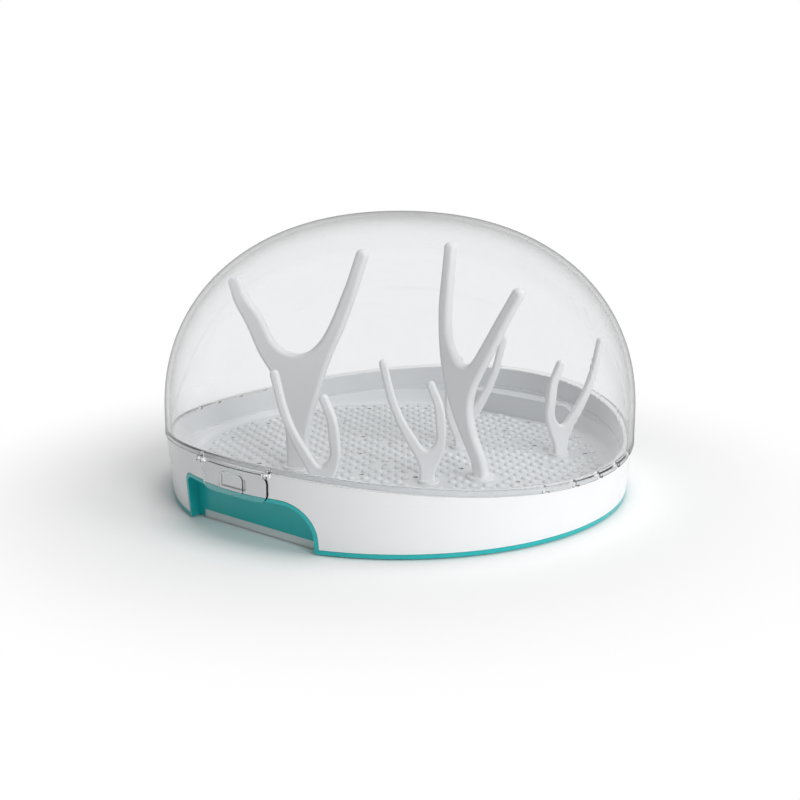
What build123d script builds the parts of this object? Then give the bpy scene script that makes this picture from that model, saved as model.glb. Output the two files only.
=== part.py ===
"""Microwave steam sterilizer: a round base that holds water, a white rack with forked
branches that lifts out of it, and a clear dome lid with a clip over each finger niche.

Millimetres. +Z is up and z = 0 is the worktop. The origin is below the middle of the base.
The two finger niches face -Y and +Y. The rim of the rack is a wave: high at the niches,
low between them.
"""

import os
from math import cos, hypot, radians, sin

from build123d import *

os.makedirs("parts", exist_ok=True)

# Overall sizes
rim_radius = 135.0
rim_middle_height = 34.2
rim_wave = 6.7
rim_top = rim_middle_height + rim_wave
wall_draft = 2.6
base_radius = rim_radius - wall_draft
straight_wall_height = rim_middle_height - 4.2

# Running gaps between pieces that come apart, and the close fit of pins and seats
lift_gap = 0.3
seat_gap = 0.2
fit_gap = 0.05

# Feet
foot_radius = 7.0
foot_thickness = 1.8
foot_proud = 0.8
foot_circle_radius = 0.695 * base_radius
foot_count = 4

# Teal base tray and the plate under it
tray_wall = 2.0
tray_ring_height = 2.3
tray_web_radius = base_radius - 4.8
plate_height = 4.0
plate_wall = 1.7
plate_gap = 0.2

# Finger niche, the same at front and back
niche_depth = 13.4
niche_from_axis = base_radius - niche_depth
niche_left = 46.4
niche_right = 47.6
niche_top = rim_top - 13.6
niche_corner_left = 6.5
niche_corner_right = 19.0
niche_lip = 2.0

# White outer wall of the rack
wall_thickness = 2.4
ledge_width = 2.2
ledge_thickness = 2.4

# Bowl that drops into the outer wall
bowl_wall = 1.8
bowl_rim_inset = 3.0
bowl_lean = 7.6
bowl_depth = 18.4
bowl_step_drop = 9.5
bowl_step_width = 1.8
bowl_rim_rise = 2.7
bowl_corner = 4.0
bowl_rim_radius = rim_radius - bowl_rim_inset
bowl_floor_radius = bowl_rim_radius - bowl_lean
bowl_floor_height = rim_middle_height - bowl_depth
tray_web_gap = 1.0
tray_web_height = bowl_floor_height - bowl_wall - tray_web_gap

# Drain holes: radius of each ring as a share of the floor's, and holes in it
drain_hole_radius = 1.6
drain_rings = ((0.193, 5), (0.360, 9), (0.671, 14), (0.884, 18))

# Spring tongue in the outer wall, behind each clip
tongue_width = 15.0
tongue_height = 6.0
tongue_slit = 1.1
tongue_above_niche = 1.6

# Dome lid
dome_proud = 0.9
dome_radius = rim_radius + dome_proud
dome_spring_height = rim_top + 6.4
dome_rise = 110.5
dome_wall = 2.4
dome_power_up = 2.15
dome_power_out = 2.28
flange_height = 3.2
flange_radius = rim_radius + 1.0
flange_width = 3.4
vent_width = 3.2
vent_height = 1.4
vent_step_deg = 9.0
vents_per_side = 5

# Lid clips and their hinges
hinge_drop = 0.3
hinge_height = rim_top - hinge_drop
hinge_out = rim_radius + 0.6
hinge_lug_radius = 1.05
hinge_lug_width = 2.0
hinge_pin_radius = 0.7
hinge_ear_radius = 1.9
hinge_ear_width = 1.8
hinge_ear_gap = 0.4
clip_half_width = 23.2
clip_thickness = 1.5
clip_height = 14.7
clip_top_height = hinge_height - 0.7
clip_bottom_height = clip_top_height - clip_height
clip_corner = 5.0
clip_gap = 0.5
clip_pad_width = 17.0
clip_pad_height = 10.5
clip_pad_proud = 0.7
clip_pad_middle_height = clip_bottom_height + 6.8

# Branches: a forked blade on a round pad, with a peg that snaps into the bowl
branch_facing_deg = 39.0
tall_thickness = 7.0
tall_round = 2.4
tall_pad_radius = 8.0
low_thickness = 4.8
low_round = 1.5
low_pad_radius = 6.0
pad_height = 1.2
peg_radius = 3.0
peg_depth = 4.0

# Stations of a branch: distance across, height above the bowl floor and width there
tall_left_shape = {
    "stem": [(1.0, 0.0, 13.0), (1.0, 22.0, 14.0), (2.6, 45.0, 23.0)],
    "crotch": (3.6, 66.5),
    "left": [(-15.2, 68.0, 12.0), (-23.8, 85.0, 10.2), (-31.2, 97.0, 8.3), (-33.6, 104.4, 7.7)],
    "right": [(18.2, 70.5, 10.0), (22.8, 78.5, 8.4), (32.6, 101.5, 7.4), (40.0, 122.6, 6.6)],
}
tall_right_shape = {
    "stem": [(0.0, 0.0, 8.6), (-5.0, 16.5, 8.2), (-12.6, 38.0, 13.0)],
    "crotch": (-11.6, 62.5),
    "left": [(-22.8, 71.0, 8.6), (-24.5, 92.0, 6.8), (-21.6, 126.0, 6.2)],
    "right": [(2.0, 71.0, 8.0), (11.6, 88.6, 7.0), (21.0, 104.8, 6.6)],
}
low_shape = {
    "stem": [(-0.9, 0.0, 8.4), (-0.5, 8.0, 9.8)],
    "crotch": (-0.6, 18.2),
    "left": [(-8.4, 21.8, 5.8), (-15.2, 34.0, 4.8), (-20.0, 46.0, 4.5), (-24.9, 66.6, 4.5)],
    "right": [(6.2, 22.2, 6.0), (6.4, 32.0, 5.6), (5.2, 43.0, 5.2), (0.9, 54.6, 4.6)],
}

# Foot of each branch, across and back in the facing direction as shares of the floor's radius,
# and its own turn in degrees
branch_feet = {
    "tall_branch_left": (-0.474, -0.205, -15.0),
    "tall_branch_right": (0.363, -0.360, -35.0),
    "low_branch_front": (-0.326, -0.660, -9.0),
    "low_branch_middle": (0.127, -0.423, -1.0),
    "low_branch_side": (0.757, 0.0, 198.0),
    "low_branch_back": (0.291, 0.121, 180.0),
}

# Worked out from the sizes above
base_bottom = foot_proud
ring_top = base_bottom + tray_ring_height
wall_bottom = ring_top + seat_gap
tray_floor_bottom = base_bottom + plate_height
tray_floor_top = tray_floor_bottom + tray_wall
tray_inner_radius = tray_web_radius - tray_wall
niche_inside = niche_from_axis - tray_wall
bump_clear = niche_inside - lift_gap
bump_inside = bump_clear - bowl_wall
bowl_under = bowl_floor_height - bowl_wall
step_radius = bowl_rim_radius - bowl_wall - bowl_step_width
wall_inner_radius = rim_radius - wall_thickness
wall_slope = (rim_radius - base_radius) / (straight_wall_height - base_bottom)
clip_inner_radius = rim_radius + clip_gap
clip_outer_radius = clip_inner_radius + clip_thickness
cut_reach = 30.0
outside = clip_outer_radius + cut_reach
above = rim_top + cut_reach


def wall_radius(height):
    """Outer radius of the white wall: a slight cone up to the straight part."""
    return rim_radius - wall_slope * max(straight_wall_height - height, 0.0)


def below_wave(drop=0.0):
    """The space below the wave of the rim, lowered by drop: its top is a ruled saddle."""
    reach = rim_radius * 1.6
    rise = 2 * rim_wave * reach**2 / rim_radius**2
    middle = rim_middle_height - drop
    low = -reach
    with BuildPart() as space:
        for side in (-1, 1):
            place = Plane(
                origin=(side * reach / 2**0.5, side * reach / 2**0.5, 0),
                x_dir=(-1, 1, 0),
                z_dir=(1, 1, 0),
            )
            with BuildSketch(place):
                with BuildLine():
                    Polyline(
                        (-reach, low),
                        (reach, low),
                        (reach, middle + side * rise),
                        (-reach, middle - side * rise),
                        close=True,
                    )
                make_face()
        loft(ruled=True)
    return space.part


def dome_curve(shrink):
    """Half section of the dome, brought in by shrink: a rounded curve between circle and square."""
    out = dome_radius - shrink
    rise = dome_rise - shrink
    points = []
    for step in range(1, 10):
        angle = radians(9 * step)
        points.append((out * cos(angle) ** (2 / dome_power_out), rise * sin(angle) ** (2 / dome_power_up)))
    return [(out, 0.0)] + points + [(0.0, rise)]


def dome_solid(shrink, height_low):
    """Solid of revolution under the dome curve, with a straight skirt down to height_low."""
    curve = dome_curve(shrink)
    with BuildPart() as solid:
        with BuildSketch(Plane.XZ):
            with BuildLine():
                shifted = [(x, z + dome_spring_height) for x, z in curve]
                Spline(*shifted, tangents=[(0, 1), (-1, 0)])
                Polyline(shifted[-1], (0, height_low), (shifted[0][0], height_low), shifted[0])
            make_face()
        revolve(axis=Axis.Z)
    return solid.part


def niche_outline(grow=0.0, foot=0.0):
    """Sketch of the finger niche seen from outside: a tight corner on one side, a long sweep on the other."""
    left = -niche_left - grow
    right = niche_right + grow
    top = niche_top + grow
    corner_left = niche_corner_left + grow
    corner_right = niche_corner_right + grow
    with BuildSketch() as outline:
        with BuildLine():
            Polyline((left, foot), (left, top - corner_left))
            RadiusArc((left, top - corner_left), (left + corner_left, top), corner_left)
            Line((left + corner_left, top), (right - corner_right, top))
            RadiusArc((right - corner_right, top), (right, top - corner_right), corner_right)
            Polyline((right, top - corner_right), (right, foot), (left, foot))
        make_face()
    return outline.sketch


def front_plane(distance, turn):
    """Upright plane at a distance from the axis, looking out along -Y, or +Y when turned."""
    side = -1 if turn == 0 else 1
    return Plane(origin=(0, side * distance, 0), x_dir=(-side, 0, 0), z_dir=(0, side, 0))


def niche_block(start, grow, foot):
    """Both finger niches as solids: the outline, grown, from a distance off the axis outwards."""
    with BuildPart() as blocks:
        for turn in (0, 180):
            with BuildSketch(front_plane(start, turn)):
                add(niche_outline(grow, foot))
            extrude(amount=outside - start)
    return blocks.part


def ring(inner, outer, low, high):
    """Plain round ring between two radii and two heights."""
    with BuildPart() as body:
        with BuildSketch(Plane.XY.offset(low)):
            Circle(outer)
            if inner > 0:
                Circle(inner, mode=Mode.SUBTRACT)
        extrude(amount=high - low)
    return body.part


def wave_band(body, low_drop, high_drop):
    """What is left of a body between two lowered copies of the rim's wave."""
    with BuildPart() as band:
        add(body)
        add(below_wave(high_drop), mode=Mode.INTERSECT)
        add(below_wave(low_drop), mode=Mode.SUBTRACT)
    return band.part


def wall_cone(inset):
    """Solid of revolution inside the white wall's outer face, brought in by inset."""
    with BuildPart() as cone:
        with BuildSketch(Plane.XZ):
            with BuildLine():
                Polyline(
                    (0, base_bottom),
                    (base_radius - inset, base_bottom),
                    (rim_radius - inset, straight_wall_height),
                    (rim_radius - inset, above),
                    (0, above),
                    close=True,
                )
            make_face()
        revolve(axis=Axis.Z)
    return cone.part


def make_base_tray():
    """Teal pan that holds the water, with the outer ring and the two finger niches moulded on."""
    with BuildPart() as pocket:
        add(niche_block(niche_inside, 0.0, base_bottom))
        add(wall_cone(0.0), mode=Mode.INTERSECT)
    with BuildPart() as base_tray:
        with BuildSketch(Plane.XZ):
            with BuildLine():
                Polyline(
                    (0, tray_floor_bottom),
                    (tray_inner_radius, tray_floor_bottom),
                    (tray_inner_radius, base_bottom),
                    (base_radius, base_bottom),
                    (wall_radius(ring_top), ring_top),
                    (tray_web_radius, ring_top),
                    (tray_web_radius, tray_web_height),
                    (tray_inner_radius, tray_web_height),
                    (tray_inner_radius, tray_floor_top),
                    (0, tray_floor_top),
                    close=True,
                )
            make_face()
        revolve(axis=Axis.Z)
        add(pocket.part)
        add(ring(0, tray_inner_radius, base_bottom, tray_floor_bottom), mode=Mode.SUBTRACT)
        add(niche_block(niche_from_axis, -niche_lip, -base_bottom), mode=Mode.SUBTRACT)
    base_tray.part.label = "base_tray"
    return base_tray.part


def make_bottom_plate():
    """Pale shallow dish that closes the underside, cut straight at the niches, with foot seats."""
    hollow_low = base_bottom + plate_wall
    plate_radius = tray_inner_radius - plate_gap
    with BuildPart() as bottom_plate:
        add(ring(0, plate_radius, base_bottom, tray_floor_bottom - fit_gap))
        with BuildSketch(Plane.XY):
            Rectangle(3 * plate_radius, 2 * niche_from_axis)
        extrude(amount=above, mode=Mode.INTERSECT)
        with BuildSketch(Plane.XY.offset(hollow_low)):
            Circle(plate_radius - plate_wall)
            Rectangle(3 * plate_radius, 2 * (niche_from_axis - plate_wall), mode=Mode.INTERSECT)
        extrude(amount=above, mode=Mode.SUBTRACT)
        with BuildSketch(Plane.XY.offset(base_bottom)):
            with PolarLocations(foot_circle_radius, foot_count, start_angle=180 / foot_count):
                Circle(foot_radius + fit_gap)
        extrude(amount=foot_thickness - foot_proud, mode=Mode.SUBTRACT)
    bottom_plate.part.label = "bottom_plate"
    return bottom_plate.part


def make_foot(number):
    """Round silicone pad, pressed into its seat in the bottom plate."""
    angle = radians(180 / foot_count + number * 360 / foot_count)
    place = Plane(origin=(foot_circle_radius * cos(angle), foot_circle_radius * sin(angle), 0))
    with BuildPart() as foot:
        with BuildSketch(place):
            Circle(foot_radius)
        extrude(amount=foot_thickness - fit_gap)
        chamfer(foot.edges().group_by(Axis.Z)[0], foot_proud / 2)
    foot.part.label = f"foot_{number + 1}"
    return foot.part


def make_outer_wall():
    """White outer wall with the wavy rim, the niche cut-outs, an inner ledge and two spring tongues."""
    ledge_drop = bowl_step_drop + bowl_wall + fit_gap
    ledge_inner = wall_inner_radius - ledge_width
    with BuildPart() as ledge_ring:
        add(wall_cone(wall_thickness / 2))
        add(ring(0, ledge_inner, -above, 2 * above), mode=Mode.SUBTRACT)
    ledge = wave_band(ledge_ring.part, ledge_drop + ledge_thickness, ledge_drop)
    tongue_low = niche_top + tongue_above_niche
    slit_reach = tongue_width / 2 + tongue_slit / 2
    with BuildPart() as outer_wall:
        add(wall_cone(0.0))
        add(wall_cone(wall_thickness), mode=Mode.SUBTRACT)
        add(below_wave(), mode=Mode.INTERSECT)
        add(ring(0, outside, -above, wall_bottom), mode=Mode.SUBTRACT)
        add(ledge)
        add(niche_block(niche_inside, lift_gap, -base_bottom), mode=Mode.SUBTRACT)
        for turn in (0, 180):
            with BuildSketch(front_plane(wall_inner_radius - ledge_width / 2, turn)):
                with Locations((0, tongue_low + tongue_slit / 2)):
                    Rectangle(tongue_width + 2 * tongue_slit, tongue_slit)
                with Locations(
                    (-slit_reach, tongue_low + tongue_height / 2),
                    (slit_reach, tongue_low + tongue_height / 2),
                ):
                    Rectangle(tongue_slit, tongue_height)
            extrude(amount=outside - wall_inner_radius, mode=Mode.SUBTRACT)
    outer_wall.part.label = "outer_wall"
    return outer_wall.part


def bowl_cone(extra, low):
    """Solid of revolution of the bowl's lower wall, grown outwards by extra, from height low."""
    with BuildPart() as cone:
        with BuildSketch(Plane.XZ) as half:
            with BuildLine():
                Polyline(
                    (0, low),
                    (bowl_floor_radius + extra, low),
                    (step_radius + extra, rim_middle_height - bowl_step_drop),
                    (step_radius + extra, above),
                    (0, above),
                    close=True,
                )
            make_face()
            corner = half.vertices().sort_by_distance((bowl_floor_radius + extra, low))[0]
            fillet(corner, bowl_corner + extra)
        revolve(axis=Axis.Z)
    return cone.part


def branch_place(name):
    """Foot of a branch on the bowl floor, and the direction across its fork."""
    across, back, turn = branch_feet[name]
    facing = radians(branch_facing_deg)
    x = bowl_floor_radius * (across * cos(facing) - back * sin(facing))
    y = bowl_floor_radius * (across * sin(facing) + back * cos(facing))
    return x, y, radians(branch_facing_deg + turn)


def make_bowl():
    """White bowl: floor with drain holes and branch sockets, wall with a step, and a thin rim."""
    with BuildPart() as hollow:
        add(bowl_cone(0.0, bowl_floor_height))
        add(niche_block(bump_inside, lift_gap + bowl_wall, 0.0), mode=Mode.SUBTRACT)
    with BuildPart() as lower:
        add(bowl_cone(bowl_wall, bowl_under))
        add(hollow.part, mode=Mode.SUBTRACT)
        add(niche_block(bump_clear, lift_gap, 0.0), mode=Mode.SUBTRACT)
        add(below_wave(bowl_step_drop), mode=Mode.INTERSECT)
    step = wave_band(
        ring(step_radius, bowl_rim_radius, bowl_under, above),
        bowl_step_drop + bowl_wall,
        bowl_step_drop,
    )
    rim = wave_band(
        ring(bowl_rim_radius - bowl_wall, bowl_rim_radius, bowl_under, above),
        bowl_step_drop + bowl_wall,
        -bowl_rim_rise,
    )
    with BuildPart() as bowl:
        add(step)
        add(rim)
        add(wall_cone(wall_thickness + seat_gap), mode=Mode.INTERSECT)
        add(lower.part)
        with BuildSketch(Plane.XY.offset(bowl_under)):
            for share, count in drain_rings:
                with PolarLocations(share * bowl_floor_radius, count):
                    Circle(drain_hole_radius)
            for name in branch_feet:
                x, y, angle = branch_place(name)
                with Locations((x, y)):
                    Circle(peg_radius + fit_gap)
        extrude(amount=bowl_wall, mode=Mode.SUBTRACT)
    bowl.part.label = "bowl"
    return bowl.part


def edge_points(stations, side):
    """Points half a width to one side of a chain of stations, square to the way it runs."""
    points = []
    for index, (x, z, width) in enumerate(stations):
        before = stations[max(index - 1, 0)]
        after = stations[min(index + 1, len(stations) - 1)]
        run = hypot(after[0] - before[0], after[1] - before[1])
        across = (after[1] - before[1]) / run, -(after[0] - before[0]) / run
        points.append((x + side * across[0] * width / 2, z + side * across[1] * width / 2))
    return points


def heading(stations, way):
    """Unit direction a prong runs in at its tip, or back down it when way is -1."""
    (x0, z0, _), (x1, z1, _) = stations[-2:]
    run = hypot(x1 - x0, z1 - z0)
    return way * (x1 - x0) / run, way * (z1 - z0) / run


def tip_point(stations):
    """Outermost point of the round end of a prong."""
    x, z, width = stations[-1]
    along_x, along_z = heading(stations, 1)
    return x + along_x * width / 2, z + along_z * width / 2


def make_branch(name, shape, thickness, rounding, pad_radius):
    """Forked blade with round edges, standing on its pad, with the peg that plugs into the bowl."""
    x, y, angle = branch_place(name)
    blade_plane = Plane(
        origin=(x, y, bowl_floor_height),
        x_dir=(cos(angle), sin(angle), 0),
        z_dir=(sin(angle), -cos(angle), 0),
    )
    stem_left, stem_right = edge_points(shape["stem"], -1), edge_points(shape["stem"], 1)
    left_outer, left_inner = edge_points(shape["left"], -1), edge_points(shape["left"], 1)
    right_inner, right_outer = edge_points(shape["right"], -1), edge_points(shape["right"], 1)
    with BuildPart() as branch:
        with BuildSketch(blade_plane):
            with BuildLine():
                Spline(*stem_left, *left_outer, tangents=[(0, 1), heading(shape["left"], 1)])
                ThreePointArc(left_outer[-1], tip_point(shape["left"]), left_inner[-1])
                Spline(
                    *left_inner[::-1],
                    shape["crotch"],
                    *right_inner,
                    tangents=[heading(shape["left"], -1), heading(shape["right"], 1)],
                )
                ThreePointArc(right_inner[-1], tip_point(shape["right"]), right_outer[-1])
                Spline(
                    *right_outer[::-1],
                    *stem_right[::-1],
                    tangents=[heading(shape["right"], -1), (0, -1)],
                )
                Line(stem_right[0], stem_left[0])
            make_face()
        extrude(amount=thickness / 2, both=True)
        blade_sides = branch.faces().sort_by(SortBy.AREA)[-2:]
        rims = [edge for face in blade_sides for edge in face.edges() if edge.center().Z > bowl_floor_height + 1]
        fillet(rims, rounding)
        with BuildSketch(Plane.XY.offset(bowl_floor_height - peg_depth)):
            with Locations((x, y)):
                Circle(pad_radius)
        extrude(amount=peg_depth, mode=Mode.SUBTRACT)
        with BuildSketch(Plane.XY.offset(bowl_floor_height)):
            with Locations((x, y)):
                Circle(pad_radius)
        extrude(amount=pad_height)
        with BuildSketch(Plane.XY.offset(bowl_floor_height - peg_depth)):
            with Locations((x, y)):
                Circle(peg_radius)
        extrude(amount=peg_depth)
    branch.part.label = name
    return branch.part


def side_plane(start):
    """Upright plane square to the hinge lines, start millimetres along X: its own X is +Y."""
    return Plane(origin=(start, 0, 0), x_dir=(0, 1, 0), z_dir=(1, 0, 0))


def make_dome_lid():
    """Clear dome with a flange that follows the rim, steam vents and an ear each side of each clip."""
    ear_starts = (clip_half_width + hinge_ear_gap, -clip_half_width - hinge_ear_gap - hinge_ear_width)
    ear_root = hinge_height + flange_height / 2
    with BuildPart() as shell:
        add(dome_solid(0.0, 0.0))
        add(dome_solid(dome_wall, 0.0), mode=Mode.SUBTRACT)
        add(below_wave(-seat_gap - flange_height / 2), mode=Mode.SUBTRACT)
    flange = wave_band(
        ring(flange_radius - flange_width, flange_radius, 0.0, above),
        -seat_gap,
        -seat_gap - flange_height,
    )
    with BuildPart() as ears:
        for start in ear_starts:
            for side in (-1, 1):
                with BuildSketch(side_plane(start)):
                    with Locations((side * hinge_out, hinge_height)):
                        Circle(hinge_ear_radius)
                    with Locations((side * (hinge_out - hinge_ear_radius / 2), ear_root)):
                        Rectangle(3 * hinge_ear_radius, flange_height)
                    with Locations((side * hinge_out, hinge_height)):
                        Circle(hinge_pin_radius + fit_gap, mode=Mode.SUBTRACT)
                extrude(amount=hinge_ear_width)
        add(ring(0, rim_radius + lift_gap, 0.0, hinge_height + seat_gap), mode=Mode.SUBTRACT)
        add(ring(0, flange_radius - flange_width, 0.0, above), mode=Mode.SUBTRACT)
    with BuildPart() as dome_lid:
        add(shell.part)
        add(flange)
        add(ears.part)
        for side in (0, 180):
            for number in range(vents_per_side):
                azimuth = radians(side + (number - (vents_per_side - 1) / 2) * vent_step_deg)
                inside = flange_radius - 2 * flange_width
                low = rim_middle_height - rim_wave * cos(2 * azimuth) + seat_gap
                place = Plane(
                    origin=(inside * cos(azimuth), inside * sin(azimuth), low),
                    x_dir=(-sin(azimuth), cos(azimuth), 0),
                    z_dir=(cos(azimuth), sin(azimuth), 0),
                )
                with BuildSketch(place):
                    Rectangle(vent_width, 2 * vent_height)
                extrude(amount=3 * flange_width, mode=Mode.SUBTRACT)
    dome_lid.part.label = "dome_lid"
    return dome_lid.part


def make_clip(label, turn):
    """Clear flap that hangs over a niche from two hinge pins, with a thumb pad moulded on."""
    side = -1 if turn == 0 else 1
    middle_height = (clip_bottom_height + clip_top_height) / 2
    with BuildPart() as thumb_pad:
        with BuildSketch(front_plane(clip_inner_radius / 2, turn)):
            with Locations((0, clip_pad_middle_height)):
                RectangleRounded(clip_pad_width, clip_pad_height, clip_pad_height / 4)
        extrude(amount=outside)
        add(ring(clip_inner_radius, clip_outer_radius + clip_pad_proud, 0.0, above), mode=Mode.INTERSECT)
    with BuildPart() as clip:
        with BuildSketch(front_plane(clip_inner_radius / 2, turn)) as flap:
            with Locations((0, middle_height)):
                Rectangle(2 * clip_half_width, clip_height)
            fillet(flap.vertices().group_by(Axis.Z)[0], clip_corner)
        extrude(amount=outside)
        add(ring(clip_inner_radius, clip_outer_radius, 0.0, above), mode=Mode.INTERSECT)
        add(thumb_pad.part)
        for start in (-clip_half_width, clip_half_width - hinge_lug_width):
            with BuildSketch(side_plane(start)):
                with Locations((side * hinge_out, hinge_height)):
                    Circle(hinge_lug_radius)
                with Locations((side * hinge_out, hinge_height - hinge_lug_radius)):
                    Rectangle(2 * hinge_lug_radius, 2 * hinge_lug_radius)
            extrude(amount=hinge_lug_width)
        pin_reach = hinge_ear_gap + hinge_ear_width
        for start in (-clip_half_width - pin_reach, clip_half_width - hinge_lug_width / 2):
            with BuildSketch(side_plane(start)):
                with Locations((side * hinge_out, hinge_height)):
                    Circle(hinge_pin_radius)
            extrude(amount=pin_reach + hinge_lug_width / 2)
    clip.part.label = label
    return clip.part


pieces = [make_base_tray(), make_bottom_plate()]
pieces += [make_foot(number) for number in range(foot_count)]
pieces += [make_outer_wall(), make_bowl()]
pieces.append(make_branch("tall_branch_left", tall_left_shape, tall_thickness, tall_round, tall_pad_radius))
pieces.append(make_branch("tall_branch_right", tall_right_shape, tall_thickness, tall_round, tall_pad_radius))
for low_name in ("low_branch_front", "low_branch_middle", "low_branch_side", "low_branch_back"):
    pieces.append(make_branch(low_name, low_shape, low_thickness, low_round, low_pad_radius))
pieces += [make_dome_lid(), make_clip("clip_front", 0), make_clip("clip_back", 180)]

for piece in pieces:
    export_step(piece, f"parts/{piece.label}.step")
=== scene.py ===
from math import cos, radians, sin

import bmesh
import bpy
import numpy as np
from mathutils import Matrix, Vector


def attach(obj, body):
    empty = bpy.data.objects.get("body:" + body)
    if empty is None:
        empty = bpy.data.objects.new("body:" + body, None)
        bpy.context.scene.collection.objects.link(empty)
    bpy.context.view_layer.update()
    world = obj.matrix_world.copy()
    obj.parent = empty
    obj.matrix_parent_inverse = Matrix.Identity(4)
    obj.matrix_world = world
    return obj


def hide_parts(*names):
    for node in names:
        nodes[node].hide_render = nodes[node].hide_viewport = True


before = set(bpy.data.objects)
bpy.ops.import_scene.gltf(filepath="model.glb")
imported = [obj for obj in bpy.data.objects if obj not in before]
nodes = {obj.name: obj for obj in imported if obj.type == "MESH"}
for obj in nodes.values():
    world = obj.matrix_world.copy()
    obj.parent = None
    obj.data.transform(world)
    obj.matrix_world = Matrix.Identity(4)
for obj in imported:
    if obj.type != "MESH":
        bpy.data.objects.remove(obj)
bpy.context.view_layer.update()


# Camera, at the photograph's place: 39 degrees round from the front niche, 14.2 above the worktop.
# It was fitted to the rim, the base and the outline of the dome.
camera_azimuth = radians(39.0)
camera_elevation = radians(14.2)
camera_distance = 0.7621
camera_target = Vector((0.0, 0.0, 0.0489))
camera_lens_mm = 58.5
camera_sensor_mm = 36.0
camera_near = 0.05

camera_data = bpy.data.cameras.new("camera")
camera_data.lens = camera_lens_mm
camera_data.sensor_width = camera_sensor_mm
camera_data.clip_start = camera_near
camera = bpy.data.objects.new("camera", camera_data)
bpy.context.scene.collection.objects.link(camera)
toward_camera = Vector((
    sin(camera_azimuth) * cos(camera_elevation),
    -cos(camera_azimuth) * cos(camera_elevation),
    sin(camera_elevation),
))
camera.location = camera_target + camera_distance * toward_camera
camera.rotation_euler = toward_camera.to_track_quat("Z", "Y").to_euler()
bpy.context.scene.camera = camera
bpy.context.scene.view_settings.view_transform = "Standard"


# Worktop and studio. A white sheet under the sterilizer, a white surround, and three soft lamps: a
# large one overhead, a key from the right of the camera and one beside it. Far from the object the
# sheet is lit to plain white, as the photographer's was.
floor_half_width = 4.0
floor_colour = (0.94, 0.94, 0.94, 1.0)
floor_fade_start = 0.13
floor_fade_end = 0.29
floor_lift = 0.04
surround_colour = (1.0, 1.0, 1.0, 1.0)
surround_light = 0.25
surround_white = 1.0
# Each lamp: metres to the camera's right, ahead and up, then its width in metres and its watts.
lamps = {
    "lamp_overhead": ((0.20, 0.20, 1.50), 1.0, 9.0),
    "lamp_right": ((1.35, -0.70, 0.80), 0.7, 8.5),
    "lamp_front": ((0.75, -1.30, 0.85), 0.6, 9.0),
}


def seen_only(tree):
    """1 for camera, glossy and transmission rays and 0 for the rays that carry light."""
    path = tree.nodes.new("ShaderNodeLightPath")
    either = tree.nodes.new("ShaderNodeMath")
    either.operation = "MAXIMUM"
    tree.links.new(path.outputs["Is Camera Ray"], either.inputs[0])
    tree.links.new(path.outputs["Is Glossy Ray"], either.inputs[1])
    all_three = tree.nodes.new("ShaderNodeMath")
    all_three.operation = "MAXIMUM"
    tree.links.new(either.outputs[0], all_three.inputs[0])
    tree.links.new(path.outputs["Is Transmission Ray"], all_three.inputs[1])
    return all_three.outputs[0]


floor_mesh = bpy.data.meshes.new("worktop")
floor_corners = floor_half_width * np.array(
    [(-1, -1, 0), (1, -1, 0), (1, 1, 0), (-1, 1, 0)], dtype=float)
floor_mesh.from_pydata(floor_corners.tolist(), [], [(0, 1, 2, 3)])
worktop = bpy.data.objects.new("worktop", floor_mesh)
bpy.context.scene.collection.objects.link(worktop)

# The sheet's own light takes over from its diffuse white between the two distances of the fade.
floor_material = bpy.data.materials.new("worktop_white")
floor_material.use_nodes = True
floor_tree = floor_material.node_tree
floor_tree.nodes.clear()
floor_diffuse = floor_tree.nodes.new("ShaderNodeBsdfDiffuse")
floor_diffuse.inputs["Color"].default_value = floor_colour
floor_emission = floor_tree.nodes.new("ShaderNodeEmission")
floor_place = floor_tree.nodes.new("ShaderNodeTexCoord")
floor_reach = floor_tree.nodes.new("ShaderNodeVectorMath")
floor_reach.operation = "LENGTH"
floor_tree.links.new(floor_place.outputs["Object"], floor_reach.inputs[0])
floor_fade = floor_tree.nodes.new("ShaderNodeMapRange")
floor_fade.interpolation_type = "SMOOTHSTEP"
floor_fade.inputs["From Min"].default_value = floor_fade_start
floor_fade.inputs["From Max"].default_value = floor_fade_end
floor_fade.inputs["To Min"].default_value = floor_lift
floor_tree.links.new(floor_reach.outputs["Value"], floor_fade.inputs["Value"])
floor_strength = floor_tree.nodes.new("ShaderNodeMath")
floor_strength.operation = "MULTIPLY"
floor_sum = floor_tree.nodes.new("ShaderNodeMixShader")
floor_output = floor_tree.nodes.new("ShaderNodeOutputMaterial")
floor_tree.links.new(seen_only(floor_tree), floor_strength.inputs[0])
floor_tree.links.new(floor_fade.outputs[0], floor_strength.inputs[1])
floor_tree.links.new(floor_strength.outputs[0], floor_sum.inputs[0])
floor_tree.links.new(floor_diffuse.outputs[0], floor_sum.inputs[1])
floor_tree.links.new(floor_emission.outputs[0], floor_sum.inputs[2])
floor_tree.links.new(floor_sum.outputs[0], floor_output.inputs["Surface"])
floor_mesh.materials.append(floor_material)

world = bpy.data.worlds.new("surround")
bpy.context.scene.world = world
world.use_nodes = True
world_tree = world.node_tree
world_tree.nodes.clear()
world_lit = world_tree.nodes.new("ShaderNodeBackground")
world_seen = world_tree.nodes.new("ShaderNodeBackground")
for background, strength in ((world_lit, surround_light), (world_seen, surround_white)):
    background.inputs["Color"].default_value = surround_colour
    background.inputs["Strength"].default_value = strength
world_mix = world_tree.nodes.new("ShaderNodeMixShader")
world_output = world_tree.nodes.new("ShaderNodeOutputWorld")
world_tree.links.new(seen_only(world_tree), world_mix.inputs[0])
world_tree.links.new(world_lit.outputs[0], world_mix.inputs[1])
world_tree.links.new(world_seen.outputs[0], world_mix.inputs[2])
world_tree.links.new(world_mix.outputs[0], world_output.inputs["Surface"])

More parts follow.
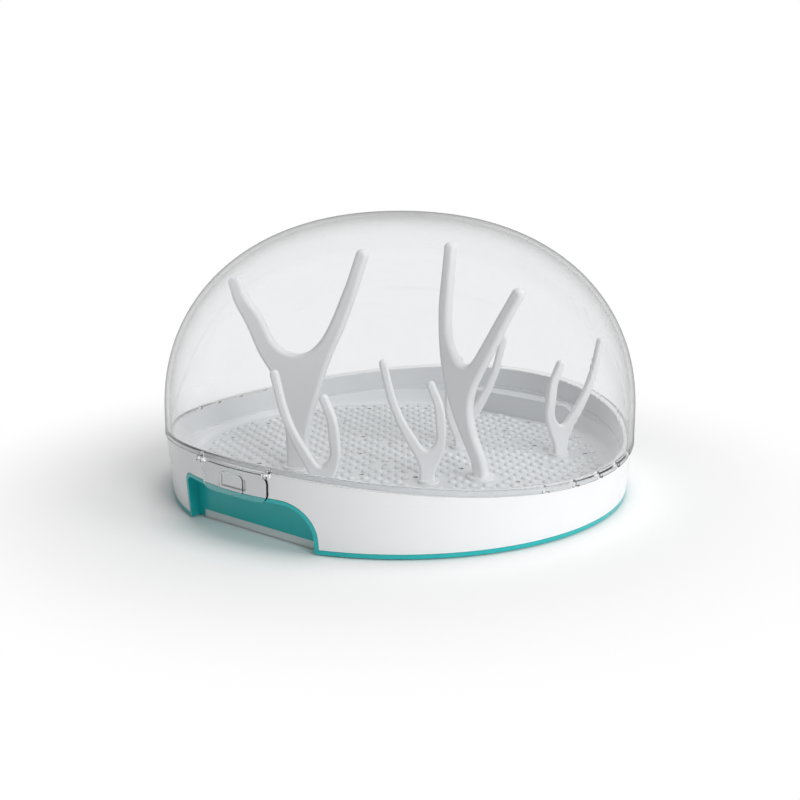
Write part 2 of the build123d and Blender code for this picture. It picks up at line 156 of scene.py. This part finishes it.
camera_right = Vector((cos(camera_azimuth), sin(camera_azimuth), 0.0))
camera_ahead = Vector((-sin(camera_azimuth), cos(camera_azimuth), 0.0))
for lamp_name, ((right, ahead, up), width, power) in lamps.items():
    lamp_data = bpy.data.lights.new(lamp_name, "AREA")
    lamp_data.size = width
    lamp_data.energy = power
    lamp = bpy.data.objects.new(lamp_name, lamp_data)
    lamp.location = right * camera_right + ahead * camera_ahead + Vector((0.0, 0.0, up))
    lamp.visible_glossy = False
    lamp.visible_transmission = False
    lamp.rotation_euler = (lamp.location - camera_target).to_track_quat("Z", "Y").to_euler()
    bpy.context.scene.collection.objects.link(lamp)


# Base tray. Injection-moulded teal polypropylene, one shot with the ring that shows under the
# white wall and the two finger niches. The mould leaves a fine even grain and a soft gloss.
teal = (0.016, 0.47, 0.475)
teal_roughness = 0.28
teal_tone = 0.06
plastic_ior = 1.49
flow_scale = 14.0
flow_detail = 2.0
flow_distortion = 0.8
flow_middle = 0.5
rub_scale = 55.0
rub_detail = 6.0
rub_breakup = 0.65
rub_start = 0.45
rub_full = 0.75
grain_detail = 3.0


def moulding_group():
    """Mould texture: a fine grain, slow waves of tone from the melt, and faint rubs from handling."""
    group = bpy.data.node_groups.new("moulded_plastic", "ShaderNodeTree")
    face = group.interface
    face.new_socket("Place", in_out="INPUT", socket_type="NodeSocketVector")
    face.new_socket("Colour", in_out="INPUT", socket_type="NodeSocketColor")
    for name, value in (("Roughness", 0.3), ("Grain Size", 900.0), ("Tone", 0.04), ("Rub", 0.08)):
        socket = face.new_socket(name, in_out="INPUT", socket_type="NodeSocketFloat")
        socket.default_value = value
    face.new_socket("Colour", in_out="OUTPUT", socket_type="NodeSocketColor")
    face.new_socket("Roughness", in_out="OUTPUT", socket_type="NodeSocketFloat")
    face.new_socket("Height", in_out="OUTPUT", socket_type="NodeSocketFloat")
    enter = group.nodes.new("NodeGroupInput")
    leave = group.nodes.new("NodeGroupOutput")

    flow = group.nodes.new("ShaderNodeTexNoise")
    flow.inputs["Scale"].default_value = flow_scale
    flow.inputs["Detail"].default_value = flow_detail
    flow.inputs["Distortion"].default_value = flow_distortion
    group.links.new(enter.outputs["Place"], flow.inputs["Vector"])
    flow_centred = group.nodes.new("ShaderNodeMath")
    flow_centred.operation = "SUBTRACT"
    flow_centred.inputs[1].default_value = flow_middle
    group.links.new(flow.outputs["Fac"], flow_centred.inputs[0])
    flow_scaled = group.nodes.new("ShaderNodeMath")
    flow_scaled.operation = "MULTIPLY_ADD"
    flow_scaled.inputs[2].default_value = 1.0
    group.links.new(flow_centred.outputs[0], flow_scaled.inputs[0])
    group.links.new(enter.outputs["Tone"], flow_scaled.inputs[1])
    toned = group.nodes.new("ShaderNodeVectorMath")
    toned.operation = "SCALE"
    group.links.new(enter.outputs["Colour"], toned.inputs[0])
    group.links.new(flow_scaled.outputs[0], toned.inputs["Scale"])
    group.links.new(toned.outputs[0], leave.inputs["Colour"])

    rubs = group.nodes.new("ShaderNodeTexNoise")
    rubs.inputs["Scale"].default_value = rub_scale
    rubs.inputs["Detail"].default_value = rub_detail
    rubs.inputs["Roughness"].default_value = rub_breakup
    group.links.new(enter.outputs["Place"], rubs.inputs["Vector"])
    rub_range = group.nodes.new("ShaderNodeMapRange")
    rub_range.inputs["From Min"].default_value = rub_start
    rub_range.inputs["From Max"].default_value = rub_full
    group.links.new(rubs.outputs["Fac"], rub_range.inputs["Value"])
    rougher = group.nodes.new("ShaderNodeMath")
    rougher.operation = "MULTIPLY_ADD"
    group.links.new(rub_range.outputs[0], rougher.inputs[0])
    group.links.new(enter.outputs["Rub"], rougher.inputs[1])
    group.links.new(enter.outputs["Roughness"], rougher.inputs[2])
    group.links.new(rougher.outputs[0], leave.inputs["Roughness"])

    grain = group.nodes.new("ShaderNodeTexNoise")
    grain.inputs["Detail"].default_value = grain_detail
    group.links.new(enter.outputs["Place"], grain.inputs["Vector"])
    group.links.new(enter.outputs["Grain Size"], grain.inputs["Scale"])
    group.links.new(grain.outputs["Fac"], leave.inputs["Height"])
    return group


moulding = moulding_group()


def plastic(name, colour, roughness, grain_depth=0.00002, tone=0.04, rub=0.04):
    """Opaque moulded plastic: the moulding group feeds colour, roughness and a shallow bump."""
    material = bpy.data.materials.new(name)
    material.use_nodes = True
    tree = material.node_tree
    shader = tree.nodes["Principled BSDF"]
    place = tree.nodes.new("ShaderNodeTexCoord")
    texture = tree.nodes.new("ShaderNodeGroup")
    texture.node_tree = moulding
    texture.inputs["Colour"].default_value = (*colour, 1.0)
    texture.inputs["Roughness"].default_value = roughness
    texture.inputs["Tone"].default_value = tone
    texture.inputs["Rub"].default_value = rub
    tree.links.new(place.outputs["Object"], texture.inputs["Place"])
    tree.links.new(texture.outputs["Colour"], shader.inputs["Base Color"])
    tree.links.new(texture.outputs["Roughness"], shader.inputs["Roughness"])
    bump = tree.nodes.new("ShaderNodeBump")
    bump.inputs["Distance"].default_value = grain_depth
    tree.links.new(texture.outputs["Height"], bump.inputs["Height"])
    tree.links.new(bump.outputs["Normal"], shader.inputs["Normal"])
    shader.inputs["IOR"].default_value = plastic_ior
    return material


def dress(node, material):
    """Puts a material in every slot of a CAD node."""
    mesh = nodes[node].data
    if not mesh.materials:
        mesh.materials.append(material)
    for index in range(len(mesh.materials)):
        mesh.materials[index] = material


dress("base_tray", plastic("teal_polypropylene", teal, teal_roughness, tone=teal_tone))


# Bottom plate and feet. A pale dish closes the underside and shows as a thin strip below each
# niche. The four silicone pads are pressed into its seats and carry the weight.
pale = (0.74, 0.77, 0.77)
pale_roughness = 0.42
silicone = (0.50, 0.53, 0.54)
silicone_roughness = 0.62
silicone_grain_depth = 0.00006
silicone_tone = 0.10
foot_names = ("foot_1", "foot_2", "foot_3", "foot_4")

dress("bottom_plate", plastic("pale_polypropylene", pale, pale_roughness))
foot_material = plastic(
    "grey_silicone", silicone, silicone_roughness, silicone_grain_depth, silicone_tone)
for foot_name in foot_names:
    dress(foot_name, foot_material)


# Outer wall. Gloss white polypropylene, with the wavy rim that carries the dome. A slightly
# rubbed gloss shows long soft reflections.
white = (0.86, 0.87, 0.88)
white_roughness = 0.24

dress("outer_wall", plastic("white_polypropylene", white, white_roughness))


# Bowl. The same kind of white plastic, dropped into the outer wall. Its colour is painted greyer
# than the wall's white: painted shade for the shaded inside of the bowl. Its floor is covered with
# round bumps in a honeycomb pattern, part of the same moulding, that keep what stands on it clear
# of the water. The bumps stop at the drain holes, the branches' feet and the two niches.
# Greyer than the outer wall's white: painted shade inside the bowl.
bowl_white_with_painted_shade = (0.80, 0.81, 0.82)
bowl_floor_height = 0.0158
bump_pitch = 0.00745
bump_radius = 0.0026
bump_height = 0.0015
bump_sunk = 0.0004
bump_first = (0.0623, -0.0210)
bump_rows_each_way = 40
bump_field_radius = 0.1175
bump_niche_limit = 0.1115
bump_niche_half_width = 0.053
bump_corners = 12
bump_ring_shares = (1.0, 0.80, 0.45)
drain_hole_radius = 0.0016
# Each drain ring: its radius and its number of holes.
drain_rings = ((0.0240, 5), (0.0448, 9), (0.0835, 14), (0.1100, 18))
branch_clear = 0.0095
branch_facing = radians(39.0)
# Each branch's foot, in a plan turned by branch_facing.
branch_feet = {
    "tall_branch_left": (-0.0590, -0.0255),
    "tall_branch_right": (0.0452, -0.0448),
    "low_branch_front": (-0.0406, -0.0821),
    "low_branch_middle": (0.0158, -0.0526),
    "low_branch_side": (0.0942, 0.0),
    "low_branch_back": (0.0362, 0.0150),
}


def turned(points, angle):
    """Points turned about the vertical: x cos - y sin, x sin + y cos."""
    x, y = points[:, 0], points[:, 1]
    return np.stack([x * cos(angle) - y * sin(angle), x * sin(angle) + y * cos(angle)], axis=1)


def bump_places():
    """Honeycomb lattice x = x0 + p (i + j/2), y = y0 + p sqrt(3)/2 j, kept where the floor is plain."""
    steps = np.arange(-bump_rows_each_way, bump_rows_each_way + 1)
    across, back = (grid.ravel() for grid in np.meshgrid(steps, steps))
    lattice = np.stack([
        bump_first[0] + bump_pitch * (across + back / 2.0),
        bump_first[1] + bump_pitch * np.sqrt(3.0) / 2.0 * back,
    ], axis=1)
    feet = turned(np.array(list(branch_feet.values())), branch_facing)
    places = turned(lattice, branch_facing)
    keep = np.hypot(places[:, 0], places[:, 1]) < bump_field_radius
    beside_middle = np.abs(places[:, 0]) < bump_niche_half_width
    keep &= ~(beside_middle & (np.abs(places[:, 1]) > bump_niche_limit))
    from_feet = np.linalg.norm(places[:, None] - feet[None], axis=2).min(axis=1)
    keep &= from_feet > branch_clear + bump_radius
    holes = np.concatenate([
        radius * np.stack([np.cos(angles), np.sin(angles)], axis=1)
        for radius, count in drain_rings
        for angles in [2.0 * np.pi * np.arange(count) / count]
    ])
    from_holes = np.linalg.norm(places[:, None] - holes[None], axis=2).min(axis=1)
    keep &= from_holes > drain_hole_radius + bump_radius
    return places[keep]


def bump_mesh(places):
    """Closed round bumps: rings of a spherical cap of the given radius and height, a pole above
    and a pole sunk in the floor, the same rings shifted to every place."""
    angles = 2.0 * np.pi * np.arange(bump_corners) / bump_corners
    ring_radius = bump_radius * np.array(bump_ring_shares)
    ball = (bump_radius ** 2 + bump_height ** 2) / (2.0 * bump_height)
    ring_height = np.sqrt(ball ** 2 - ring_radius ** 2) - (ball - bump_height)
    ring_height[0] = -bump_sunk
    rings = np.stack([
        ring_radius[:, None] * np.cos(angles),
        ring_radius[:, None] * np.sin(angles),
        np.repeat(ring_height[:, None], bump_corners, axis=1),
    ], axis=2).reshape(-1, 3)
    poles = np.array([(0.0, 0.0, bump_height), (0.0, 0.0, -bump_sunk)])
    one = np.concatenate([rings, poles])
    shift = np.concatenate([places, np.full((len(places), 1), bowl_floor_height)], axis=1)
    points = (shift[:, None] + one[None]).reshape(-1, 3)
    corner = np.arange(bump_corners)
    after = (corner + 1) % bump_corners
    top_ring = len(bump_ring_shares) - 1
    bands = [
        np.stack([low * bump_corners + corner, low * bump_corners + after,
                  (low + 1) * bump_corners + after, (low + 1) * bump_corners + corner], axis=1)
        for low in range(top_ring)
    ]
    top = np.stack([top_ring * bump_corners + corner, top_ring * bump_corners + after,
                    np.full(bump_corners, len(rings))], axis=1)
    under = np.stack([after, corner, np.full(bump_corners, len(rings) + 1)], axis=1)
    offsets = (len(one) * np.arange(len(places)))[:, None, None]
    quads = (np.concatenate(bands)[None] + offsets).reshape(-1, 4)
    triangles = (np.concatenate([top, under])[None] + offsets).reshape(-1, 3)
    mesh = bpy.data.meshes.new("floor_bumps")
    mesh.from_pydata(points.tolist(), [], quads.tolist() + triangles.tolist())
    mesh.shade_smooth()
    return mesh


# The bowl's painted shade covers its floor bumps too.
bowl_material = plastic("white_bowl_with_painted_shade", bowl_white_with_painted_shade, white_roughness)
dress("bowl", bowl_material)
floor_bumps = bpy.data.objects.new("floor_bumps", bump_mesh(bump_places()))
floor_bumps.data.materials.append(bowl_material)
bpy.context.scene.collection.objects.link(floor_bumps)
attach(floor_bumps, "rack")


# Branches. Forked blades of satin white plastic that plug into the bowl's floor. Large pieces
# hang on the tall pair, small parts on the low ones.
branch_white = (0.91, 0.915, 0.92)
branch_roughness = 0.36
branch_grain_depth = 0.00003

branch_material = plastic("branch_polypropylene", branch_white, branch_roughness, branch_grain_depth)
for branch_name in branch_feet:
    dress(branch_name, branch_material)


# Dome. Clear gloss plastic 2.4 mm thick, one moulding with the flange that sits on the rim and its
# vents. It is painted a little grey where the eye looks along the wall, as at the outline: painted
# shade for the dark outline. Light passes through it to the rack.
clear_face_on = (0.93, 0.935, 0.94, 1.0)
# Painted shade: the dome's base colour at its outline and the grey see-through layer mixed in there.
clear_outline_painted_shade = (0.20, 0.205, 0.21, 1.0)
clear_outline_painted_grey = (0.34, 0.345, 0.35, 1.0)
clear_edge_share = 0.95
clear_edge_power = 8.0
clear_facing_blend = 0.5
clear_shadow = (0.93, 0.935, 0.94, 1.0)
clear_white = (1.0, 1.0, 1.0, 1.0)
clear_roughness = 0.01
clear_ior = 1.42
clear_tone = 0.03
clear_rub = 0.02
clear_grain_size = 25.0
clear_grain_depth = 0.000008
dome_radius = 0.1359
dome_spring = 0.0473
dome_rise = 0.1105
dome_wall = 0.0024
dome_power_up = 2.15
dome_power_out = 2.28
dome_rows = 90
dome_columns = 360
dome_first_column = 0.001
skirt_rows = 10
rim_middle = 0.0342
rim_wave = 0.0067
flange_radius = 0.1360
flange_width = 0.0034
flange_height = 0.0032
flange_round = 0.0005
flange_round_share = 0.3
seat_gap = 0.0002
vent_width = 0.0032
vent_height = 0.0014
vent_step = radians(9.0)
vent_edge_half_angle = 0.0004
vents_per_side = 5
merge_distance = 0.000002


def clear_plastic(name, face_on, outline_painted_shade, outline_painted_grey, edge_share):
    """Refracting plastic with painted shade at grazing angles, a darker base colour and a grey
    see-through layer for the dark outline, that lets lamp and surround light through.
    """
    material = bpy.data.materials.new(name)
    material.use_nodes = True
    tree = material.node_tree
    shader = tree.nodes["Principled BSDF"]
    output = tree.nodes["Material Output"]
    place = tree.nodes.new("ShaderNodeTexCoord")
    texture = tree.nodes.new("ShaderNodeGroup")
    texture.node_tree = moulding
    texture.inputs["Colour"].default_value = clear_white
    texture.inputs["Roughness"].default_value = clear_roughness
    texture.inputs["Tone"].default_value = clear_tone
    texture.inputs["Rub"].default_value = clear_rub
    texture.inputs["Grain Size"].default_value = clear_grain_size
    tree.links.new(place.outputs["Object"], texture.inputs["Place"])
    grazing = tree.nodes.new("ShaderNodeLayerWeight")
    grazing.inputs["Blend"].default_value = clear_facing_blend
    # Painted shade: the base colour goes from the face-on colour to the outline's grey as facing rises
    # to a power.
    painted_edge_mix = tree.nodes.new("ShaderNodeMix")
    painted_edge_mix.data_type = "RGBA"
    painted_edge_mix.inputs["A"].default_value = face_on
    painted_edge_mix.inputs["B"].default_value = outline_painted_shade
    narrowed = tree.nodes.new("ShaderNodeMath")
    narrowed.operation = "POWER"
    narrowed.inputs[1].default_value = clear_edge_power
    tree.links.new(grazing.outputs["Facing"], narrowed.inputs[0])
    tree.links.new(narrowed.outputs[0], painted_edge_mix.inputs["Factor"])
    toned = tree.nodes.new("ShaderNodeMix")
    toned.data_type = "RGBA"
    toned.blend_type = "MULTIPLY"
    toned.inputs["Factor"].default_value = 1.0
    tree.links.new(painted_edge_mix.outputs["Result"], toned.inputs["A"])
    tree.links.new(texture.outputs["Colour"], toned.inputs["B"])
    tree.links.new(toned.outputs["Result"], shader.inputs["Base Color"])
    tree.links.new(texture.outputs["Roughness"], shader.inputs["Roughness"])
    bump = tree.nodes.new("ShaderNodeBump")
    bump.inputs["Distance"].default_value = clear_grain_depth
    tree.links.new(texture.outputs["Height"], bump.inputs["Height"])
    tree.links.new(bump.outputs["Normal"], shader.inputs["Normal"])
    shader.inputs["Transmission Weight"].default_value = 1.0
    shader.inputs["IOR"].default_value = clear_ior
    see_through = tree.nodes.new("ShaderNodeBsdfTransparent")
    see_through.inputs["Color"].default_value = clear_shadow
    path = tree.nodes.new("ShaderNodeLightPath")
    carries_light = tree.nodes.new("ShaderNodeMath")
    carries_light.operation = "MAXIMUM"
    tree.links.new(path.outputs["Is Shadow Ray"], carries_light.inputs[0])
    tree.links.new(path.outputs["Is Diffuse Ray"], carries_light.inputs[1])
    # More painted shade at the outline: a share of the surface turns into a grey see-through layer.
    edge = tree.nodes.new("ShaderNodeBsdfTransparent")
    edge.inputs["Color"].default_value = outline_painted_grey
    part_edge = tree.nodes.new("ShaderNodeMath")
    part_edge.operation = "MULTIPLY"
    part_edge.inputs[1].default_value = edge_share
    tree.links.new(narrowed.outputs[0], part_edge.inputs[0])
    edged = tree.nodes.new("ShaderNodeMixShader")
    tree.links.new(part_edge.outputs[0], edged.inputs[0])
    tree.links.new(shader.outputs[0], edged.inputs[1])
    tree.links.new(edge.outputs[0], edged.inputs[2])
    mixed = tree.nodes.new("ShaderNodeMixShader")
    tree.links.new(carries_light.outputs[0], mixed.inputs[0])
    tree.links.new(edged.outputs[0], mixed.inputs[1])
    tree.links.new(see_through.outputs[0], mixed.inputs[2])
    tree.links.new(mixed.outputs[0], output.inputs["Surface"])
    return material


def dome_arc(shrink):
    """Superellipse arc from spring line to top: r = R cos(t)^(2/p), z = z0 + H sin(t)^(2/q)."""
    t = np.linspace(0.0, np.pi / 2.0, dome_rows)
    radius = (dome_radius - shrink) * np.cos(t) ** (2.0 / dome_power_out)
    height = dome_spring + (dome_rise - shrink) * np.sin(t) ** (2.0 / dome_power_up)
    radius[-1] = 0.0
    return radius, height


def dome_section():
    """Closed section of the lid: flange bottom, outside up to the top, inside back down. The last
    value says how much of the rim's wave a point follows: 1 at the flange, 0 at the spring line."""
    low = rim_middle + seat_gap
    high = low + flange_height
    inside = flange_radius - flange_width
    corner = flange_round
    bevel = flange_round_share * flange_round
    rise = np.linspace(0.0, 1.0, skirt_rows)
    arc_out = dome_arc(0.0)
    arc_in = dome_arc(dome_wall)
    inner = dome_radius - dome_wall
    flange = np.array([
        (inside, high - corner), (inside, low + corner), (inside + bevel, low + bevel),
        (inside + corner, low), (flange_radius - corner, low),
        (flange_radius - bevel, low + bevel), (flange_radius, low + corner),
        (flange_radius, high - corner),
    ])
    radius = np.concatenate([
        flange[:, 0], np.full(skirt_rows, dome_radius), arc_out[0][1:],
        arc_in[0][::-1][:-1], np.full(skirt_rows, inner), [inside + corner],
    ])
    height = np.concatenate([
        flange[:, 1], high + (dome_spring - high) * rise, arc_out[1][1:],
        arc_in[1][::-1][:-1], dome_spring + (high - dome_spring) * rise, [high],
    ])
    follow = np.concatenate([
        np.ones(len(flange)), 1.0 - rise, np.zeros(2 * (dome_rows - 1)), rise, [1.0],
    ])
    return radius, height, follow


def lid_mesh():
    """Shell and flange: z = section height + share of wave * -w cos(2a) at azimuth a, with a vent
    raised in the flange's foot wherever a is within half a vent of its middle."""
    radius, height, follow = dome_section()
    number = np.arange(vents_per_side) - (vents_per_side - 1) / 2.0
    middles = np.concatenate([number * vent_step, np.pi + number * vent_step])
    half = vent_width / flange_radius / 2.0
    edges = np.concatenate([middles - half, middles + half])
    azimuth = np.concatenate([
        np.linspace(0.0, 2.0 * np.pi, dome_columns, endpoint=False) + dome_first_column,
        edges - vent_edge_half_angle, edges + vent_edge_half_angle,
    ]) % (2.0 * np.pi)
    azimuth = np.sort(azimuth)
    away = np.abs((azimuth[None] - middles[:, None] + np.pi) % (2.0 * np.pi) - np.pi).min(axis=0)
    in_vent = away < half
    wave = -rim_wave * np.cos(2.0 * azimuth)
    z = height[:, None] + follow[:, None] * wave[None]
    # The section's points 1 to 6 are the flange's foot.
    foot = rim_middle + seat_gap + wave + vent_height
    near_foot = (np.arange(len(radius)) >= 1) & (np.arange(len(radius)) <= 6)
    lifted = np.maximum(z, foot[None])
    z = np.where(near_foot[:, None] & in_vent[None], lifted, z)
    x = radius[:, None] * np.cos(azimuth)[None]
    y = radius[:, None] * np.sin(azimuth)[None]
    rows, columns = z.shape
    points = np.stack([x, y, z], axis=2).reshape(-1, 3)
    row, column = (grid.ravel() for grid in np.meshgrid(
        np.arange(rows), np.arange(columns), indexing="ij"))
    next_row = (row + 1) % rows
    next_column = (column + 1) % columns
    faces = np.stack([
        row * columns + column, row * columns + next_column,
        next_row * columns + next_column, next_row * columns + column,
    ], axis=1)
    mesh = bpy.data.meshes.new("clear_dome")
    mesh.from_pydata(points.tolist(), [], faces.tolist())
    return mesh


def outward(mesh):
    """Merges doubled points, such as those at the pole, and turns every face outwards."""
    work = bmesh.new()
    work.from_mesh(mesh)
    bmesh.ops.remove_doubles(work, verts=work.verts, dist=merge_distance)
    bmesh.ops.recalc_face_normals(work, faces=work.faces)
    work.to_mesh(mesh)
    work.free()


def join_lid(name, mesh, material):
    """Adds a piece of the lid, moulded with the rest of it, in place of the plain CAD lid."""
    outward(mesh)
    mesh.materials.append(material)
    piece = bpy.data.objects.new(name, mesh)
    bpy.context.scene.collection.objects.link(piece)
    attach(piece, "lid")
    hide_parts("dome_lid")


dome_mesh = lid_mesh()
dome_mesh.shade_smooth()
join_lid("clear_dome", dome_mesh, clear_plastic(
    "clear_dome_plastic", clear_face_on, clear_outline_painted_shade, clear_outline_painted_grey, clear_edge_share))


# Hinge ears and clips. Four ears are moulded with the dome, at the ends of the two clips. Each
# clip is a clear tab with its hinge pins moulded on, which sit in a pair of ears.
clip_face_on = (0.95, 0.955, 0.96, 1.0)
# Painted shade at the outlines of the clips and ears, lighter and softer than the dome's.
clip_outline_painted_shade = (0.70, 0.71, 0.72, 1.0)
clip_outline_painted_grey = (0.62, 0.66, 0.67, 1.0)
clip_edge_share = 0.9
hinge_height = 0.0406
hinge_out = 0.1356
ear_start = 0.0236
ear_width = 0.0018
ear_radius = 0.0019
ear_hole = 0.00075
ear_sides = 24
neck_reach = 0.0030
neck_low = 0.0010
neck_high = 0.0028


def ear_mesh():
    """Four ears: a ring about the hinge line, |yz - hinge| between hole and ear radius, carried
    along X by the ear's width, and a short neck from the ring up into the flange."""
    angles = np.linspace(0.0, 2.0 * np.pi, ear_sides, endpoint=False)
    side_number = np.arange(ear_sides)
    next_side = (side_number + 1) % ear_sides
    loops = [(ear_radius, 0.0), (ear_radius, 1.0), (ear_hole, 1.0), (ear_hole, 0.0)]
    neck = np.array([
        (along, out, up)
        for along in (0.0, 1.0)
        for out, up in (
            (-neck_reach, neck_low), (0.0, neck_low), (0.0, neck_high), (-neck_reach, neck_high))
    ])
    neck_faces = np.array([
        (0, 1, 2, 3), (4, 5, 6, 7), (0, 1, 5, 4), (1, 2, 6, 5), (2, 3, 7, 6), (3, 0, 4, 7)])
    points, faces = [], []
    for start in (ear_start, -ear_start - ear_width):
        for side in (-1.0, 1.0):
            first = len(points)
            for reach, share in loops:
                ring = np.stack([
                    np.full(ear_sides, start + share * ear_width),
                    side * (hinge_out + reach * np.cos(angles)),
                    hinge_height + reach * np.sin(angles),
                ], axis=1)
                points += ring.tolist()
            for loop in range(len(loops)):
                here = first + loop * ear_sides
                there = first + (loop + 1) % len(loops) * ear_sides
                faces += np.stack([
                    here + side_number, here + next_side, there + next_side, there + side_number,
                ], axis=1).tolist()
            block = neck.copy()
            block[:, 0] = start + block[:, 0] * ear_width
            block[:, 1] = side * (hinge_out + block[:, 1])
            block[:, 2] = hinge_height + block[:, 2]
            faces += (len(points) + neck_faces).tolist()
            points += block.tolist()
    mesh = bpy.data.meshes.new("hinge_ears")
    mesh.from_pydata(points, [], faces)
    return mesh


clip_material = clear_plastic(
    "clear_clip_plastic", clip_face_on, clip_outline_painted_shade, clip_outline_painted_grey, clip_edge_share)
join_lid("hinge_ears", ear_mesh(), clip_material)
for clip_name in ("clip_front", "clip_back"):
    dress(clip_name, clip_material)
